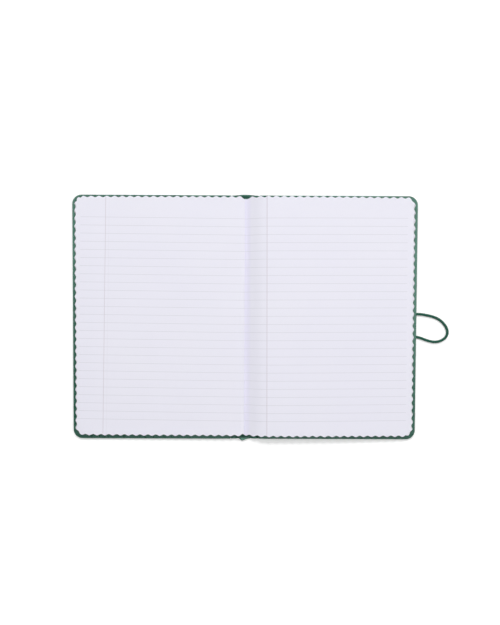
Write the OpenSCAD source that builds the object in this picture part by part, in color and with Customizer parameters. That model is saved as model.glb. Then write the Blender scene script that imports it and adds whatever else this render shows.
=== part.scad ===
// Case-bound notebook lying open at the middle of its leaves.
// Millimetres. X runs across the two pages, Y towards the head, Z up from the table.

/* [Case] */
// Height of the covers, tail to head
cover_h = 211; // [190:1:230]
// Width of the open case, fore-edge to fore-edge
open_w = 298; // [270:1:320]
// Thickness of the two cover boards
board_t = 2; // [1.5:0.1:3]
// Thickness of the green covering
cloth_t = 0.35; // [0.3:0.05:0.5]
// Radius of the outer corners of the covers
corner_r = 8; // [7:0.5:14]
// Width of the stiff strip in the spine
spine_w = 10; // [8:0.5:14]
// Thickness of the stiff strip in the spine
strip_t = 0.8; // [0.6:0.1:1]
// Gap between the spine strip and each board
joint_gap = 7.5; // [6:0.5:9]
// How far the covering dips into each joint gap
groove_rise = 1.3; // [1:0.1:1.5]
// Width of the floor of the groove in each joint gap
groove_floor = 2; // [1:0.5:3]
// Bevel of the wrapped edges of the covers
edge_bevel = 0.3; // [0.1:0.05:0.35]
// Width of the covering turned in over the edges of the boards
turn_in = 14; // [12:1:18]
// How far the tail cap of the spine stands out past the covers
tail_cap = 1.8; // [1:0.1:2]
// How far the head cap of the spine stands out past the covers
head_cap = 0.6; // [0.4:0.1:1]
// Width of the point of the tail cap
tail_cap_w = 7.4; // [6:0.2:9]
// Place of the tip of the tail cap, to the left of the middle of the spine
tail_cap_shift = 2; // [0:0.5:3]

/* [Paper] */
// How far the covers stand out past the leaves at head and tail, on average
end_square = 2.4; // [1.6:0.1:5]
// How far the leaves sit nearer the head than the middle of the covers
head_offset = 0.8; // [0:0.1:1]
// How far the front cover stands out past the top leaf at the fore-edge
left_square = 3.1; // [2.5:0.1:6]
// How far the back cover stands out past the top leaf at the fore-edge
right_square = 3.9; // [3:0.1:8]
// How far the lowest leaf on the front cover stands out past the top leaf
left_fan = 1.2; // [0.6:0.1:1.6]
// How far the lowest leaf on the back cover stands out past the top leaf
right_fan = 1.8; // [0.6:0.1:2.2]
// Radius of the rounded page corners
page_r = 7; // [5:0.5:10]
// Thickness of the leaves on the front cover, pressed flat
left_t = 3; // [2.4:0.2:6]
// Thickness of the leaves on the back cover, pressed flat
right_t = 4.8; // [3.6:0.2:8]
// How much higher the left page stands near the gutter than at the fore-edge
left_arch = 2.2; // [1:0.2:4]
// How much higher the right page stands near the gutter than at the fore-edge
right_arch = 4.6; // [1:0.2:5]
// Height of the leaves at the bottom of the gutter, above their glued back
gutter_t = 3.4; // [1.4:0.2:4]
// Width of the steep shoulder of the left page
left_shoulder_w = 3.5; // [3:0.5:8]
// Width of the long slope of the right page
right_slope_w = 22; // [20:1:36]
// Share of the slope of the right page that is straight, next to the gutter
straight_share = 0.45; // [0.2:0.05:0.6]
// Thickness of the pasted-down end leaves
endleaf_t = 0.2; // [0.15:0.05:0.3]

/* [Scallops] */
// Depth of a scallop from lobe to notch
scallop_depth = 1.2; // [1:0.1:2]
// Length of one scallop along the head edge
head_pitch = 6.68; // [6:0.02:8]
// Length of one scallop along the fore-edge
fore_pitch = 6.71; // [6:0.02:8]
// Length of one scallop along the tail edge
tail_pitch = 6.8; // [6:0.02:8]
// First notch of the left page's head edge, from the gutter
left_head_notch = 1.4; // [0:0.1:6]
// First notch of the left page's fore-edge, from the rounded corner at the head
left_fore_notch = 2; // [0:0.1:6]
// First notch of the left page's tail edge, from the rounded corner at the fore-edge
left_tail_notch = 1.1; // [0:0.1:6]
// First notch of the right page's head edge, from the gutter
right_head_notch = 3; // [0:0.1:6]
// First notch of the right page's fore-edge, from the rounded corner at the head
right_fore_notch = 2.6; // [0:0.1:6]
// First notch of the right page's tail edge, from the rounded corner at the fore-edge
right_tail_notch = 4.5; // [0:0.1:6]

/* [Spine] */
// Thickness of the gauze lining glued on the back of the leaves
lining_t = 0.3; // [0.2:0.05:0.4]
// Free room between the spine strip and the gauze lining
hollow_gap = 0.2; // [0:0.05:0.3]
// Diameter of the bead of the head and tail bands
bead_d = 1.2; // [1:0.1:1.4]
// Length of the tape of a head or tail band under its bead
band_tape = 5; // [4:0.5:8]
// How far a head or tail band stays inside the width of the spine, each side
band_inset = 0.5; // [0.2:0.1:1]

/* [Elastic loop] */
// Diameter of the elastic cord
cord_d = 2.3; // [1.6:0.1:2.6]

/* [Hidden] */
half_w = open_w / 2;
page_h = cover_h - 2 * end_square;
left_w = half_w - left_square;
right_w = half_w - right_square;
joint_x = spine_w / 2 + joint_gap / 2;
board_x = spine_w / 2 + joint_gap;
board_top = cloth_t + board_t;
rim_top = board_top + cloth_t;
leaf_z = rim_top + endleaf_t;
spine_top = cloth_t + strip_t;
lining_z = spine_top + cloth_t + hollow_gap;
back_z = lining_z + lining_t;
groove_top = groove_rise + cloth_t;
gutter_z = back_z + gutter_t;
y_mid = (tail_cap - head_cap) / 2;
leaf_mid = y_mid + head_offset;
past = 10;
lap = 1;
wave_steps = 8;
valley_steps = 8;
arch_steps = 6;
cord_sides = 8;
cord_z = rim_top / 2;
cord_rest_z = cord_d / 2;

// Places along the loop: how far out from the cover, how far up the page, and the share of the way down to the table.
loop_points = [
    [0, 3.9, 0],
    [3, 3.9, 0.1],
    [7.5, 3.3, 0.3],
    [12, 2.4, 0.5],
    [16.7, 1, 0.7],
    [21, -1.4, 0.9],
    [24.5, -4.7, 1],
    [26.7, -8.3, 1],
    [27.5, -11.9, 1],
    [26.6, -15.2, 1],
    [24.3, -17.7, 1],
    [20.9, -19.5, 0.9],
    [16.7, -20.2, 0.7],
    [12.3, -19.6, 0.5],
    [8, -18.3, 0.3],
    [4, -16.8, 0.1],
    [0, -15.8, 0]
];

left_notches = [left_head_notch, left_fore_notch, left_tail_notch];
right_notches = [right_head_notch, right_fore_notch, right_tail_notch];
corner_length = PI * page_r / 2;
side_length = page_h - 2 * page_r;

// Length of the edge of one page, from the gutter at the head round to the gutter at the tail.
function edge_length(w) = 2 * (w - page_r) + 2 * corner_length + side_length;

// Scallops counted along the edge of a page of width w, whole at each notch; they stretch a little round the corners.
function scallops(s, w, notches) =
    let (
        head_end = w - page_r,
        fore_start = head_end + corner_length,
        fore_end = fore_start + side_length,
        tail_start = fore_end + corner_length,
        at_head_end = (head_end - notches[0]) / head_pitch,
        fore_count = round(at_head_end + (corner_length + notches[1]) / fore_pitch),
        at_fore_start = fore_count - notches[1] / fore_pitch,
        at_fore_end = at_fore_start + side_length / fore_pitch,
        tail_count = round(at_fore_end + (corner_length + notches[2]) / tail_pitch),
        at_tail_start = tail_count - notches[2] / tail_pitch
    )
    s < head_end ? (s - notches[0]) / head_pitch :
    s < fore_start ? at_head_end + (at_fore_start - at_head_end) * (s - head_end) / corner_length :
    s < fore_end ? at_fore_start + (s - fore_start) / fore_pitch :
    s < tail_start ? at_fore_end + (at_tail_start - at_fore_end) * (s - fore_end) / corner_length :
    at_tail_start + (s - tail_start) / tail_pitch;

// Depth of the scallops at a distance along the edge of a page.
function dip(s, w, notches) = scallop_depth / 2 * (1 + cos(360 * scallops(s, w, notches)));

// A point of a rounded page corner, given its centre, the angle and the depth of the scallop there.
function corner_point(x, y, angle, d) = [x + (page_r - d) * cos(angle), y + (page_r - d) * sin(angle)];

// A point of the scalloped edge of a page of width w, at the distance s from the gutter at the head.
function edge_point(s, w, d) =
    let (
        run = w - page_r,
        corner_y = side_length / 2,
        past_head = s - run,
        past_corner = past_head - corner_length,
        past_side = past_corner - side_length,
        past_tail = past_side - corner_length
    )
    past_head < 0 ? [s, page_h / 2 - d] :
    past_corner < 0 ? corner_point(run, corner_y, 90 - 90 * past_head / corner_length, d) :
    past_side < 0 ? [w - d, corner_y - past_corner] :
    past_tail < 0 ? corner_point(run, -corner_y, -90 * past_side / corner_length, d) :
    [run - past_tail, -page_h / 2 + d];

// The scalloped outline of one page, from x_start to its fore-edge.
function page_outline(w, x_start, notches) =
    let (
        total = edge_length(w),
        step = fore_pitch / wave_steps,
        first = ceil(x_start / step + 0.3),
        last = floor((total - x_start) / step - 0.3)
    )
    concat(
        [[x_start, page_h / 2 - dip(x_start, w, notches)]],
        [for (k = [first:last]) edge_point(k * step, w, dip(k * step, w, notches))],
        [[x_start, -page_h / 2 + dip(total - x_start, w, notches)]]
    );

// Height of a page at a distance x from the gutter, before it sinks into the gutter; reach is its lowest leaf's width.
function arched(x, t, arch, reach) = leaf_z + t + arch * (1 - pow(x / reach, 2));

// Share of the drop into the gutter: a quarter ellipse on the left page; straight, then levelling out, on the right page.
function steep_share(u) = 1 - sqrt(1 - pow(1 - u, 2));
function soft_share(u) =
    u < straight_share ? 1 - 2 * u / (1 + straight_share) :
    pow(1 - u, 2) / (1 - pow(straight_share, 2));

// Section across one half of the leaves, gutter at x = 0 and fore-edge at positive x.
function half_section(t, arch, reach, shoulder_w, steep) =
    let (drop = arched(0, t, arch, reach) - gutter_z)
    concat(
        [
            [0, back_z],
            [spine_w / 2, back_z],
            [joint_x, groove_top + endleaf_t],
            [board_x, leaf_z],
            [half_w, leaf_z]
        ],
        [for (k = [arch_steps:-1:1])
            let (x = shoulder_w + (half_w - shoulder_w) * k / arch_steps)
            [x, arched(min(x, reach), t, arch, reach)]
        ],
        [for (k = [valley_steps:-1:1])
            let (u = pow(k / valley_steps, 1.5), x = shoulder_w * u)
            [x, arched(x, t, arch, reach) - drop * (steep ? steep_share(u) : soft_share(u))]
        ],
        [[0, gutter_z]]
    );

module across(points, length) {
    translate([0, length / 2, 0])
        rotate([90, 0, 0])
            linear_extrude(length)
                polygon(points);
}

// Leaves of one page, leaning so that the lower leaves stand out at the fore-edge.
module leaning_outline(w, t, fan, notches) {
    tilt = atan(fan / t);
    reach = half_w * sin(tilt);
    translate([(leaf_z + t) * tan(tilt), 0, 0])
        rotate([0, -tilt, 0])
            translate([0, 0, -reach - past])
                linear_extrude(reach + past * 5)
                    polygon([for (p = page_outline(w, -past, notches)) [p[0] * cos(tilt), p[1]]]);
}

module half_block(w, t, arch, fan, shoulder_w, steep, notches) {
    intersection() {
        across(half_section(t, arch, w + fan, shoulder_w, steep), page_h + past);
        leaning_outline(w, t, fan, notches);
    }
}

module text_block() {
    color([0.91, 0.91, 0.94])
        translate([0, leaf_mid, 0])
            union() {
                half_block(right_w, right_t, right_arch, right_fan, right_slope_w, false, right_notches);
                mirror([1, 0, 0])
                    half_block(left_w, left_t, left_arch, left_fan, left_shoulder_w, true, left_notches);
            }
}

module spine_lining() {
    lining_h = page_h - 2 * band_tape;
    color([0.88, 0.86, 0.8])
        translate([-spine_w / 2, leaf_mid - lining_h / 2, lining_z])
            cube([spine_w, lining_h, lining_t]);
}

// A rolled bead on a short tape glued at the back of the leaves, here at the head.
module edge_band() {
    band_w = spine_w - 2 * band_inset;
    leaf_end = page_h / 2;
    translate([-band_w / 2, leaf_end + bead_d / 2, back_z + bead_d / 2])
        rotate([0, 90, 0])
            cylinder(d = bead_d, h = band_w, $fn = 32);
    translate([-band_w / 2, leaf_end - band_tape, lining_z])
        cube([band_w, band_tape + bead_d / 2, lining_t]);
    translate([-band_w / 2, leaf_end, lining_z])
        cube([band_w, bead_d / 2, lining_t + bead_d / 2]);
}

module headband() {
    color([0.2, 0.38, 0.3])
        translate([0, leaf_mid, 0])
            edge_band();
}

module tailband() {
    color([0.2, 0.38, 0.3])
        translate([0, leaf_mid, 0])
            mirror([0, 1, 0])
                edge_band();
}

strip_h = cover_h - 2 * cloth_t;

module spine_strip() {
    color([0.55, 0.52, 0.47])
        translate([-spine_w / 2, y_mid - strip_h / 2, cloth_t])
            cube([spine_w, strip_h, strip_t]);
}

// Outline of the covering of the spine: a low rise at the head and a point at the tail.
function spine_plan() = [
    [-joint_x, cover_h / 2],
    [-spine_w / 2, cover_h / 2 + head_cap],
    [spine_w / 2, cover_h / 2 + head_cap],
    [joint_x, cover_h / 2],
    [joint_x, -cover_h / 2],
    [tail_cap_w / 2 - tail_cap_shift / 2, -cover_h / 2],
    [-tail_cap_shift, -cover_h / 2 - tail_cap],
    [-tail_cap_w / 2 - tail_cap_shift / 2, -cover_h / 2],
    [-joint_x, -cover_h / 2]
];

// Section of the covering across one joint gap, from the spine strip to the board.
function joint_section() =
    let (
        near = joint_x - groove_floor / 2,
        far = joint_x + groove_floor / 2
    )
    [
        [0, 0],
        [spine_w / 2, 0],
        [near, groove_rise],
        [far, groove_rise],
        [board_x, 0],
        [board_x + lap, 0],
        [board_x + lap, cloth_t],
        [board_x, cloth_t],
        [far, groove_top],
        [near, groove_top],
        [spine_w / 2, cloth_t],
        [0, cloth_t]
    ];

// Section of the end leaf where it comes down from the board into the joint gap.
function endleaf_joint_section() =
    let (far = joint_x + groove_floor / 2)
    [
        [joint_x, groove_top],
        [far, groove_top],
        [board_x, board_top],
        [board_x + lap, board_top],
        [board_x + lap, board_top + endleaf_t],
        [board_x, board_top + endleaf_t],
        [far, groove_top + endleaf_t],
        [joint_x, groove_top + endleaf_t]
    ];

module spine_covering() {
    color([0.2, 0.36, 0.29])
        translate([0, y_mid, 0])
            intersection() {
                linear_extrude(past)
                    polygon(spine_plan());
                union() {
                    across(joint_section(), cover_h + past);
                    mirror([1, 0, 0])
                        across(joint_section(), cover_h + past);
                    spine_end_wrap(cover_h / 2);
                    mirror([0, 1, 0])
                        spine_end_wrap(cover_h / 2);
                }
            }
}

// The covering folded over one end of the spine strip.
module spine_end_wrap(end_y) {
    inner_y = strip_h / 2;
    translate([-spine_w / 2, inner_y, 0])
        cube([spine_w, end_y + past - inner_y, spine_top + cloth_t]);
    translate([-spine_w / 2, inner_y - turn_in, spine_top])
        cube([spine_w, turn_in + past, cloth_t]);
}

// A board-shaped slab with its two outer corners rounded; x_in is its straight edge.
module rounded_slab(x_in, x_out, h, r, t) {
    translate([x_in, -h / 2, 0])
        cube([x_out - r - x_in, h, t]);
    translate([x_in, -h / 2 + r, 0])
        cube([x_out - x_in, h - 2 * r, t]);
    for (side = [-1, 1])
        translate([x_out - r, side * (h / 2 - r), 0])
            cylinder(r = r, h = t, $fn = 96);
}

// Bevelled section of a slab: width w to either side of the middle, thickness t, bevel b.
function bevelled_section(w, t, b) = [
    [-w, b],
    [-w + b, 0],
    [w - b, 0],
    [w, b],
    [w, t - b],
    [w - b, t],
    [-w + b, t],
    [-w, t - b]
];

// The same slab with its wrapped edges bevelled all round, apart from the straight inner edge.
module bevelled_slab(x_in, x_out, h, r, t, b) {
    translate([x_in, 0, 0])
        rotate([90, 0, 90])
            linear_extrude(x_out - r - x_in)
                polygon(bevelled_section(h / 2, t, b));
    intersection() {
        across(bevelled_section(x_out, t, b), h - 2 * r);
        translate([x_in, -h, 0])
            cube([x_out, 2 * h, t]);
    }
    for (side = [-1, 1])
        translate([x_out - r, side * (h / 2 - r), 0]) {
            cylinder(r1 = r - b, r2 = r, h = b, $fn = 96);
            translate([0, 0, b])
                cylinder(r = r, h = t - 2 * b, $fn = 96);
            translate([0, 0, t - b])
                cylinder(r1 = r, r2 = r - b, h = b, $fn = 96);
        }
}

module cover_board() {
    translate([0, 0, cloth_t])
        rounded_slab(board_x, half_w - cloth_t, cover_h - 2 * cloth_t, corner_r - cloth_t, board_t);
}

// The covering of one cover: outer face, wrapped edges and turned-in margins, with its half of the joint.
module cover_covering() {
    window_x = half_w - turn_in;
    window_h = cover_h - 2 * turn_in;
    difference() {
        bevelled_slab(board_x, half_w, cover_h, corner_r, rim_top, edge_bevel);
        cover_board();
        translate([0, -window_h / 2, board_top])
            cube([window_x, window_h, past]);
    }
    intersection() {
        across(joint_section(), cover_h);
        translate([joint_x, -cover_h, 0])
            cube([half_w, 2 * cover_h, past]);
    }
}

// The end leaf pasted over the board and over the turned-in margins, and down into the joint.
module cover_endleaf(leaf_w, notches) {
    window_x = half_w - turn_in;
    window_h = cover_h - 2 * turn_in;
    inset = endleaf_t;
    difference() {
        translate([0, head_offset, 0]) {
            across(endleaf_joint_section(), page_h - 2 * scallop_depth);
            translate([0, 0, board_top])
                linear_extrude(leaf_z - board_top)
                    polygon(page_outline(leaf_w, board_x, notches));
        }
        difference() {
            translate([board_x, -cover_h, board_top - past])
                cube([half_w, 2 * cover_h, rim_top - board_top + past]);
            translate([0, -window_h / 2, board_top - 2 * past])
                cube([window_x, window_h, 4 * past]);
        }
        translate([board_x - past, -window_h / 2 + inset, board_top + endleaf_t])
            cube([window_x - inset - board_x + past, window_h - 2 * inset, past]);
    }
}

module front_side() {
    translate([0, y_mid, 0])
        mirror([1, 0, 0])
            children();
}

module back_side() {
    translate([0, y_mid, 0])
        children();
}

module front_board() {
    color([0.55, 0.52, 0.47])
        front_side()
            cover_board();
}

module back_board() {
    color([0.55, 0.52, 0.47])
        back_side()
            cover_board();
}

module front_covering() {
    color([0.2, 0.36, 0.29])
        front_side()
            cover_covering();
}

module back_covering() {
    color([0.2, 0.36, 0.29])
        back_side()
            cover_covering();
}

module front_endleaf() {
    color([0.93, 0.92, 0.94])
        front_side()
            cover_endleaf(left_w + left_fan, left_notches);
}

module back_endleaf() {
    color([0.93, 0.92, 0.94])
        back_side()
            cover_endleaf(right_w + right_fan, right_notches);
}

// Centre of the loop at point k, in the frame of the part.
function loop_centre(k) = [
    half_w + loop_points[k][0],
    y_mid + loop_points[k][1],
    cord_z + (cord_rest_z - cord_z) * loop_points[k][2]
];

function unit(v) = v / norm(v);

// Direction of the cord at point k: square to the cover at both ends.
function loop_direction(k) =
    k == 0 ? [1, 0, 0] :
    k == len(loop_points) - 1 ? [-1, 0, 0] :
    unit(loop_centre(k + 1) - loop_centre(k - 1));

// Ring of points round the cord at point k.
function loop_ring(k) =
    let (
        along = loop_direction(k),
        sideways = unit(cross([0, 0, 1], along)),
        up = cross(along, sideways)
    )
    [for (j = [0:cord_sides - 1])
        loop_centre(k)
            + cord_d / 2 * cos(360 * (j + 0.5) / cord_sides) * sideways
            + cord_d / 2 * sin(360 * (j + 0.5) / cord_sides) * up
    ];

module elastic_loop() {
    rings = len(loop_points);
    points = [for (k = [0:rings - 1]) each loop_ring(k)];
    walls = [for (k = [0:rings - 2], j = [0:cord_sides - 1])
        let (next = (j + 1) % cord_sides)
        [
            k * cord_sides + j,
            k * cord_sides + next,
            (k + 1) * cord_sides + next,
            (k + 1) * cord_sides + j
        ]
    ];
    start_cap = [[for (j = [cord_sides - 1:-1:0]) j]];
    end_cap = [[for (j = [0:cord_sides - 1]) (rings - 1) * cord_sides + j]];
    color([0.16, 0.34, 0.27])
        polyhedron(points = points, faces = concat(walls, start_cap, end_cap));
}

text_block();
spine_lining();
headband();
tailband();
spine_strip();
spine_covering();
front_board();
front_covering();
front_endleaf();
back_board();
back_covering();
back_endleaf();
elastic_loop();
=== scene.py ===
import math

import bmesh
import bpy
from mathutils import Matrix, Vector
from mathutils.geometry import delaunay_2d_cdt


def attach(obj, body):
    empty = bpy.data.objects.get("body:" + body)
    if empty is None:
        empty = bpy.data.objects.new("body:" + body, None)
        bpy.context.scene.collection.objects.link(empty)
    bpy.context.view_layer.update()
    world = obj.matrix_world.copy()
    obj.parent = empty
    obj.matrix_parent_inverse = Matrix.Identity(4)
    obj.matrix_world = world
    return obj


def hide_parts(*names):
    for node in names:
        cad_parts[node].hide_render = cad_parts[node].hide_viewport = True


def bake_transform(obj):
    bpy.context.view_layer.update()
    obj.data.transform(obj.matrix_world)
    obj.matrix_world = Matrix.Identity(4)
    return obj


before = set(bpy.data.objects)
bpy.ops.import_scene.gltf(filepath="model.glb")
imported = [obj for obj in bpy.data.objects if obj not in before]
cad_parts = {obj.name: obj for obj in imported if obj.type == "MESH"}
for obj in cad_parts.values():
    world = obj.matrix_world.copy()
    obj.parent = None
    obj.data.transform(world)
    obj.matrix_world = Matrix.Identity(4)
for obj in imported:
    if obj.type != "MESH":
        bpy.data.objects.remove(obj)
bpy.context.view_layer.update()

MM = 0.001

# Sizes that repeat the source of the solids.
COVER_H = 211 * MM
HALF_W = 149 * MM
BOARD_T = 2 * MM
CLOTH_T = 0.35 * MM
CORNER_R = 8 * MM
SPINE_W = 10 * MM
STRIP_T = 0.8 * MM
JOINT_GAP = 7.5 * MM
GROOVE_RISE = 1.3 * MM
GROOVE_FLOOR = 2 * MM
TURN_IN = 14 * MM
TAIL_CAP = 1.8 * MM
HEAD_CAP = 0.6 * MM
TAIL_CAP_W = 7.4 * MM
TAIL_CAP_SHIFT = 2 * MM
END_SQUARE = 2.4 * MM
HEAD_OFFSET = 0.8 * MM
PAGE_R = 7 * MM
GUTTER_T = 3.4 * MM
ENDLEAF_T = 0.2 * MM
SCALLOP_DEPTH = 1.2 * MM
HEAD_PITCH = 6.68 * MM
FORE_PITCH = 6.71 * MM
TAIL_PITCH = 6.8 * MM
LINING_T = 0.3 * MM
HOLLOW_GAP = 0.2 * MM
BEAD_D = 1.2 * MM
BAND_TAPE = 5 * MM
BAND_INSET = 0.5 * MM
STRAIGHT_SHARE = 0.45
CORD_D = 2.3 * MM

PAGE_H = COVER_H - 2 * END_SQUARE
JOINT_X = (SPINE_W + JOINT_GAP) / 2
BOARD_X = SPINE_W / 2 + JOINT_GAP
BOARD_TOP = CLOTH_T + BOARD_T
RIM_TOP = BOARD_TOP + CLOTH_T
LEAF_Z = RIM_TOP + ENDLEAF_T
SPINE_TOP = CLOTH_T + STRIP_T
LINING_Z = SPINE_TOP + CLOTH_T + HOLLOW_GAP
BACK_Z = LINING_Z + LINING_T
GROOVE_TOP = GROOVE_RISE + CLOTH_T
GUTTER_Z = BACK_Z + GUTTER_T
Y_MID = (TAIL_CAP - HEAD_CAP) / 2
LEAF_MID = Y_MID + HEAD_OFFSET
CORNER_LENGTH = math.pi * PAGE_R / 2
SIDE_LENGTH = PAGE_H - 2 * PAGE_R

# One entry for each page: side of the gutter, body of its cover, then sizes that repeat the source of the
# solids. Only the lip at the fold, the trim at the head and the number of layers belong to the look.
LEFT = {
    "sign": -1,
    "body": "front_cover",
    "width": HALF_W - 3.1 * MM,
    "thickness": 3 * MM,
    "arch": 2.2 * MM,
    "fan": 1.2 * MM,
    "slope": 3.5 * MM,
    "steep": True,
    "lip": 1.9 * MM,
    "head_trim": 0.05 * MM,
    "notches": (1.4 * MM, 2 * MM, 1.1 * MM),
    "layers": 12,
}
RIGHT = {
    "sign": 1,
    "body": "back_cover",
    "width": HALF_W - 3.9 * MM,
    "thickness": 4.8 * MM,
    "arch": 4.6 * MM,
    "fan": 1.8 * MM,
    "slope": 22 * MM,
    "steep": False,
    "lip": 0.0,
    "head_trim": 0.3 * MM,
    "notches": (3 * MM, 2.6 * MM, 4.5 * MM),
    "layers": 20,
}


def smooth_step(low, high, value):
    t = min(1.0, max(0.0, (value - low) / (high - low)))
    return t * t * (3 - 2 * t)


# Camera

CAMERA_AT = Vector((2.3 * MM, 5.1 * MM, 600 * MM))
CAMERA_AIM = Vector((4.6 * MM, -19.2 * MM, 0))
CAMERA_ROLL = math.radians(0.25)
# Height of the picture and focal length in pixels, the same height on the sensor in millimetres, and the
# share of that height by which the view is shifted.
PICTURE_H = 625
FOCAL_PIXELS = 688.5
SENSOR = 36
SHIFT_UP = 0.045


def add_camera():
    """The camera stands over the gutter and looks almost straight down."""
    data = bpy.data.cameras.new("camera")
    data.sensor_width = SENSOR
    data.lens = SENSOR * FOCAL_PIXELS / PICTURE_H
    data.shift_y = SHIFT_UP
    data.clip_start = 0.01
    data.clip_end = 20
    camera = bpy.data.objects.new("camera", data)
    bpy.context.scene.collection.objects.link(camera)
    forward = (CAMERA_AIM - CAMERA_AT).normalized()
    right = forward.cross(Vector((0, 1, 0))).normalized()
    up = right.cross(forward)
    rolled_right = right * math.cos(CAMERA_ROLL) + up * math.sin(CAMERA_ROLL)
    rolled_up = up * math.cos(CAMERA_ROLL) - right * math.sin(CAMERA_ROLL)
    turn = Matrix((rolled_right, rolled_up, -forward)).transposed()
    camera.matrix_world = Matrix.Translation(CAMERA_AT) @ turn.to_4x4()
    bpy.context.scene.camera = camera


# Node helpers for the materials

# Numbers of the sockets for the two colours and the result of a colour mix.
MIX_FIRST = 6
MIX_SECOND = 7
MIX_RESULT = 2


class Finish:
    """A procedural material being put together: its node tree, its shader and short ways to add nodes."""

    def __init__(self, name):
        self.material = bpy.data.materials.new(name)
        self.material.use_nodes = True
        self.tree = self.material.node_tree
        self.shader = self.tree.nodes["Principled BSDF"]
        place = self.tree.nodes.new("ShaderNodeTexCoord")
        self.place = place.outputs["Object"]

    def link(self, value, socket):
        if isinstance(value, bpy.types.NodeSocket):
            self.tree.links.new(value, socket)
        else:
            socket.default_value = value

    def math(self, operation, a, b=0.0):
        node = self.tree.nodes.new("ShaderNodeMath")
        node.operation = operation
        for socket, value in zip(node.inputs, (a, b)):
            self.link(value, socket)
        return node.outputs[0]

    def scaled(self, scale, turn=(0, 0, 0)):
        """The object's own coordinates, turned and then scaled."""
        node = self.tree.nodes.new("ShaderNodeMapping")
        node.inputs["Rotation"].default_value = turn
        node.inputs["Scale"].default_value = scale
        self.link(self.place, node.inputs["Vector"])
        return node.outputs[0]

    def axes(self, vector=None):
        node = self.tree.nodes.new("ShaderNodeSeparateXYZ")
        self.link(vector or self.place, node.inputs[0])
        return node.outputs[0], node.outputs[1], node.outputs[2]

    def noise(self, scale, detail=3.0, roughness=0.55, vector=None):
        node = self.tree.nodes.new("ShaderNodeTexNoise")
        node.inputs["Scale"].default_value = scale
        node.inputs["Detail"].default_value = detail
        node.inputs["Roughness"].default_value = roughness
        self.link(vector or self.place, node.inputs["Vector"])
        return node.outputs["Fac"]

    def cells(self, scale):
        """Small round cells that run softly into each other."""
        node = self.tree.nodes.new("ShaderNodeTexVoronoi")
        node.feature = "SMOOTH_F1"
        node.inputs["Scale"].default_value = scale
        self.link(self.place, node.inputs["Vector"])
        return node.outputs["Distance"]

    def spread(self, value, low, high, to_low, to_high, kind="LINEAR"):
        """The value taken from the range low to high into the range to_low to to_high."""
        node = self.tree.nodes.new("ShaderNodeMapRange")
        node.interpolation_type = kind
        for socket, given in zip(node.inputs, (value, low, high, to_low, to_high)):
            self.link(given, socket)
        return node.outputs[0]

    def mix(self, share, first, second):
        node = self.tree.nodes.new("ShaderNodeMix")
        node.data_type = "RGBA"
        self.link(share, node.inputs[0])
        self.link(first, node.inputs[MIX_FIRST])
        self.link(second, node.inputs[MIX_SECOND])
        return node.outputs[MIX_RESULT]

    def bump(self, height, distance, strength, below=None):
        node = self.tree.nodes.new("ShaderNodeBump")
        node.inputs["Strength"].default_value = strength
        node.inputs["Distance"].default_value = distance
        self.link(height, node.inputs["Height"])
        if below is not None:
            self.link(below, node.inputs["Normal"])
        return node.outputs[0]

    def done(self, colour, roughness, normal):
        self.link(colour, self.shader.inputs["Base Color"])
        self.link(roughness, self.shader.inputs["Roughness"])
        self.link(normal, self.shader.inputs["Normal"])
        return self.material


def channel(value):
    """One channel of a colour as written on screen, 0 to 255, as linear light."""
    share = value / 255
    return share / 12.92 if share <= 0.04045 else ((share + 0.055) / 1.055) ** 2.4


def shade(red, green, blue):
    return (channel(red), channel(green), channel(blue), 1.0)


# Colours, as written on screen.
PAPER = shade(233, 232, 241)
PAPER_COOL = shade(230, 229, 241)
PAPER_EDGE = shade(238, 238, 243)
PAPER_GAP = shade(196, 195, 206)
# Painted shade of the paper down in the gutter fold.
PAPER_FOLD_SHADE = shade(227, 225, 240)
RULE = shade(209, 209, 218)
MARGIN = shade(201, 194, 204)
GREEN = shade(40, 82, 67)
GREEN_DARK = shade(27, 60, 49)
GREEN_WORN = shade(92, 138, 118)
# Lit and shaded tones of the elastic cord, for its painted highlight and painted shade.
CORD_LIT_GREEN = shade(36, 86, 68)
CORD_SHADE = shade(14, 48, 38)
BOARD_GREY = shade(150, 146, 138)
BOARD_FLECK = shade(108, 102, 94)
GAUZE = shade(226, 221, 208)
GAUZE_GAP = shade(176, 168, 150)

# Density of each material's patterns, about so many in a metre.
PAPER_CLOUDS = 14
PAPER_FIBRES = 2600
PAPER_COCKLES = 60
INK_GRAIN = 900
LEAF_LINES = (90, 90, 9000)
CUT_FIBRES = 4200
END_PAPER_CLOUDS = 22
END_PAPER_FIBRES = 1900
CLOTH_PEBBLES = 1500
CLOTH_CREASES = 260
CLOTH_CLOUDS = 16
CORD_THREADS = 3800
BOARD_FLECKS = 700

# Distance between the threads of the gauze.
GAUZE_PITCH = 1.1 * MM

# Printed lines on the pages.
RULE_PITCH = 6.953 * MM
RULE_COUNT = 26
RULE_W = 0.3 * MM
LINE_SOFT = 0.06 * MM


def line_mask(finish, distance, width):
    """1 on a printed line and 0 away from it, given the distance from its middle."""
    return finish.spread(distance, width / 2, width / 2 + LINE_SOFT, 1.0, 0.0, "SMOOTHSTEP")


def inside(finish, value, low, high):
    """1 where a value lies between two limits."""
    above = finish.math("GREATER_THAN", value, low)
    below = finish.math("LESS_THAN", value, high)
    return finish.math("MULTIPLY", above, below)


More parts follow.
